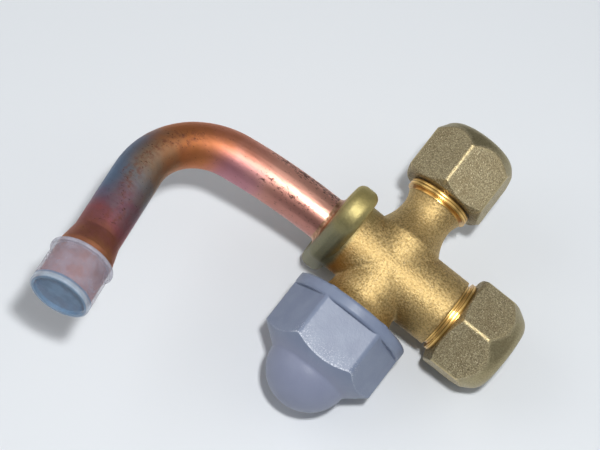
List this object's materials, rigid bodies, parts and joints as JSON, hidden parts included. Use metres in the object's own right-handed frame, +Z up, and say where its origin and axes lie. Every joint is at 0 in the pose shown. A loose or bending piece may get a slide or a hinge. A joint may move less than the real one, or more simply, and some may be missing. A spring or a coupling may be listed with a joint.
{
  "type": "refrigerant service valve",
  "caption": "Forged brass stop valve of an outdoor unit, with an oval two-hole flange, a bent copper tube, capped stem, capped service port and a plastic cap on its flare connection.",
  "frame": {"origin": "middle of the footprint box, on the table the valve lies on", "axes": "+Z up from the table; +X along the main axis towards the stem cap, seen from above; the service port points to +Y and the flare connection to -Y"},
  "size_m": [0.0812, 0.0816, 0.0412],
  "materials": {
    "brass_forging": "grainy forged and machined brass",
    "copper": "bright drawn copper, heat-stained",
    "braze": "braze filler",
    "brass_cap": "blasted brass with bright edges",
    "brass_machined": "turned brass",
    "dust_cap_plastic": "milky translucent plastic",
    "flare_cap_plastic": "grey-blue moulded plastic",
    "rubber": "matt seal rubber",
    "ptfe": "white PTFE",
    "spring_steel": "spring steel"
  },
  "bodies": {
    "valve": {"valve_body": "brass_forging", "copper_tube": "copper", "braze_ring": "braze", "stem_retaining_ring": "spring_steel", "core_barrel": "brass_machined", "core_barrel_seal": "ptfe", "core_plug": "brass_machined", "core_spring": "spring_steel"},
    "stem_rings": {"stem_o_ring_inner": "rubber", "stem_o_ring_outer": "rubber"},
    "stem": {"stem": "brass_machined"},
    "stem_cap_washer": {"stem_cap_seal": "ptfe"},
    "stem_cap": {"stem_cap": "brass_cap"},
    "service_cap_disc": {"service_cap_seal": "rubber"},
    "service_cap": {"service_cap": "brass_cap"},
    "flare_cap_disc": {"flare_cap_seal": "copper"},
    "flare_cap": {"flare_cap": "flare_cap_plastic"},
    "core_pin": {"core_pin": "brass_machined", "core_pin_seal": "rubber"},
    "dust_cap": {"dust_cap": "dust_cap_plastic"}
  },
  "joints": [
    {"name": "stem_travel", "type": "slide", "parent": "valve", "child": "stem_rings", "axis": [0.9741, 0, -0.2261], "range_m": [0, 0.005]},
    {"name": "stem_turn", "type": "hinge", "parent": "stem_rings", "child": "stem", "pos_m": [0.0229, 0.00877, 0.01277], "axis": [0.9741, 0, -0.2261], "range_deg": [0, 1800]},
    {"name": "stem_cap_travel", "type": "slide", "parent": "valve", "child": "stem_cap_washer", "axis": [0.9741, 0, -0.2261], "range_m": [0, 0.009]},
    {"name": "stem_cap_turn", "type": "hinge", "parent": "stem_cap_washer", "child": "stem_cap", "pos_m": [0.03074, 0.00877, 0.01095], "axis": [0.9741, 0, -0.2261], "range_deg": [0, 3240]},
    {"name": "service_cap_travel", "type": "slide", "parent": "valve", "child": "service_cap_disc", "axis": [0.0376, 0.9861, 0.1619], "range_m": [0, 0.01]},
    {"name": "service_cap_turn", "type": "hinge", "parent": "service_cap_disc", "child": "service_cap", "pos_m": [0.01216, 0.03244, 0.01936], "axis": [0.0376, 0.9861, 0.1619], "range_deg": [0, 2835]},
    {"name": "flare_cap_travel", "type": "slide", "parent": "valve", "child": "flare_cap_disc", "axis": [-0.0376, -0.9861, -0.1619], "range_m": [0, 0.011]},
    {"name": "flare_cap_turn", "type": "hinge", "parent": "flare_cap_disc", "child": "flare_cap", "pos_m": [0.0105, -0.01095, 0.01224], "axis": [-0.0376, -0.9861, -0.1619], "range_deg": [0, 2807]},
    {"name": "core_pin_press", "type": "slide", "parent": "valve", "child": "core_pin", "axis": [-0.0376, -0.9861, -0.1619], "range_m": [0, 0.0015], "stiffness_N_per_m": 600, "springref_m": -0.003, "deforming": ["core_spring"]},
    {"name": "dust_cap_pull", "type": "slide", "parent": "valve", "child": "dust_cap", "axis": [0.1582, -0.9735, 0.1654], "range_m": [0, 0.01]}
  ],
  "couplings": [
    {"joint": "stem_turn", "follows": "stem_travel", "rad_per_m": 6283.2},
    {"joint": "stem_cap_turn", "follows": "stem_cap_travel", "rad_per_m": 6283.2},
    {"joint": "service_cap_turn", "follows": "service_cap_travel", "rad_per_m": 4947.4},
    {"joint": "flare_cap_turn", "follows": "flare_cap_travel", "rad_per_m": 4452.7}
  ]
}
